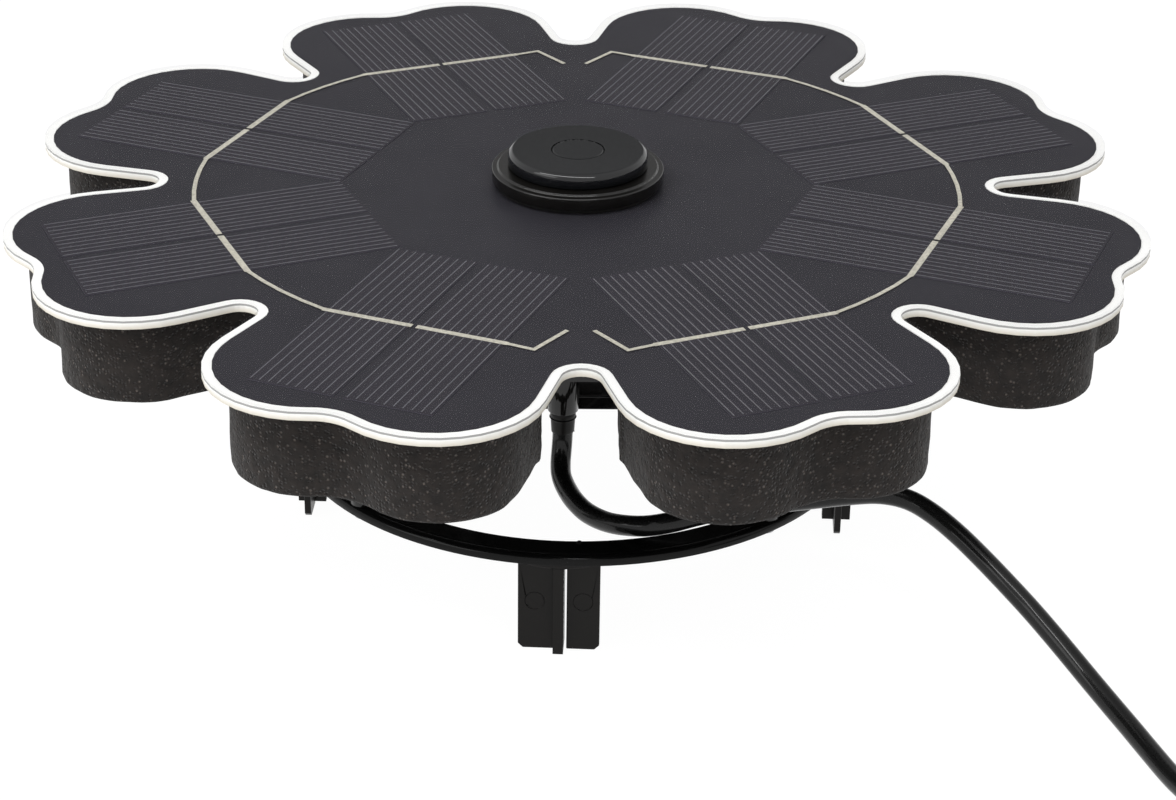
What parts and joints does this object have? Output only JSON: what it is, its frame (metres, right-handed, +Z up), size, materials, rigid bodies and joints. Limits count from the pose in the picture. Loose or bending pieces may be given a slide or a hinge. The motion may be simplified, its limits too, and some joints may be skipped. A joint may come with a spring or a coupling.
{
  "type": "floating solar fountain pump",
  "caption": "Flower-shaped solar panel on a foam float, with a strainer box and pump under its middle, on a plug-in ring stand with a low-voltage lead.",
  "frame": {"origin": "on the floor under the middle of the flower, level with the legs' feet", "axes": "+Z up; the lead leaves the box on the -Y side; +X is to the right seen from there"},
  "size_m": [0.3767, 0.3423, 0.1082],
  "materials": {
    "board": "matt pale laminate",
    "film": "black film",
    "cell": "dark blue-black silicon",
    "silver_line": "printed silver paste",
    "silver_ribbon": "tinned ribbon",
    "clear_sheet": "clear sheet",
    "float_foam": "closed-cell foam",
    "gloss_black": "glossy",
    "black_moulding": "satin",
    "ring_black": "satin",
    "gland_black": "satin",
    "lead_jacket": "semi-gloss jacket",
    "seal_rubber": "matt",
    "sponge": "open-cell sponge",
    "motor_moulding": "satin",
    "stator_steel": "varnished laminations",
    "copper_wire": "enamelled wire",
    "green_board": "solder mask",
    "polished_steel": "polished",
    "magnet": "matt ferrite",
    "white_moulding": "satin",
    "screw_steel": "plain",
    "tie_strap": "woven strap",
    "plated_brass": "nickel plated"
  },
  "bodies": {
    "float": {"panel_board": "board", "panel_film": "film", "solar_cells": "cell", "cell_fingers": "silver_line", "busbar_ribbons": "silver_ribbon", "cover_sheet": "clear_sheet", "junction_block": "black_moulding", "panel_lead": "lead_jacket", "foam_float": "float_foam", "hub_flange": "gloss_black", "hub_gasket": "seal_rubber", "clamp_nut": "black_moulding", "strainer_box": "black_moulding", "filter_sponge": "sponge", "cable_gland": "gland_black", "lead_grommet": "seal_rubber", "inner_lead": "lead_jacket", "motor_case": "motor_moulding", "motor_end_cap": "motor_moulding", "stator_core": "stator_steel", "stator_coils": "copper_wire", "circuit_board": "green_board", "volute_cover": "motor_moulding", "volute_seal": "seal_rubber", "outlet_seal": "seal_rubber", "pump_shaft": "polished_steel", "cover_screws": "screw_steel", "pump_screws": "screw_steel", "stand_frame": "black_moulding", "stand_ring": "ring_black", "ring_screws": "screw_steel", "foot_front": "ring_black", "foot_right": "ring_black", "foot_back": "ring_black", "foot_left": "ring_black", "supply_lead": "lead_jacket", "lead_coil": "lead_jacket", "coil_tie": "tie_strap", "plug_body": "gland_black", "plug_sleeve": "plated_brass", "plug_insulator": "black_moulding"},
    "rotor": {"rotor_magnet": "magnet", "impeller": "white_moulding", "rotor_bush": "white_moulding"},
    "cap": {"outlet_cap": "gloss_black", "cap_seal": "seal_rubber"},
    "stopper": {"outlet_plug": "gloss_black"},
    "lid": {"strainer_lid": "black_moulding"}
  },
  "joints": [
    {"name": "rotor_spin", "type": "hinge", "parent": "float", "child": "rotor", "pos_m": [-0.007, 0, 0.068], "axis": [0, 1, 0], "continuous": true},
    {"name": "cap_turn", "type": "hinge", "parent": "float", "child": "cap", "pos_m": [0, 0, 0.1], "axis": [0, 0, 1], "range_deg": [0, 90]},
    {"name": "stopper_lift", "type": "slide", "parent": "cap", "child": "stopper", "axis": [0, 0, 1], "range_m": [0, 0.012]},
    {"name": "lid_drop", "type": "slide", "parent": "float", "child": "lid", "axis": [0, 0, -1], "range_m": [0, 0.012]}
  ]
}
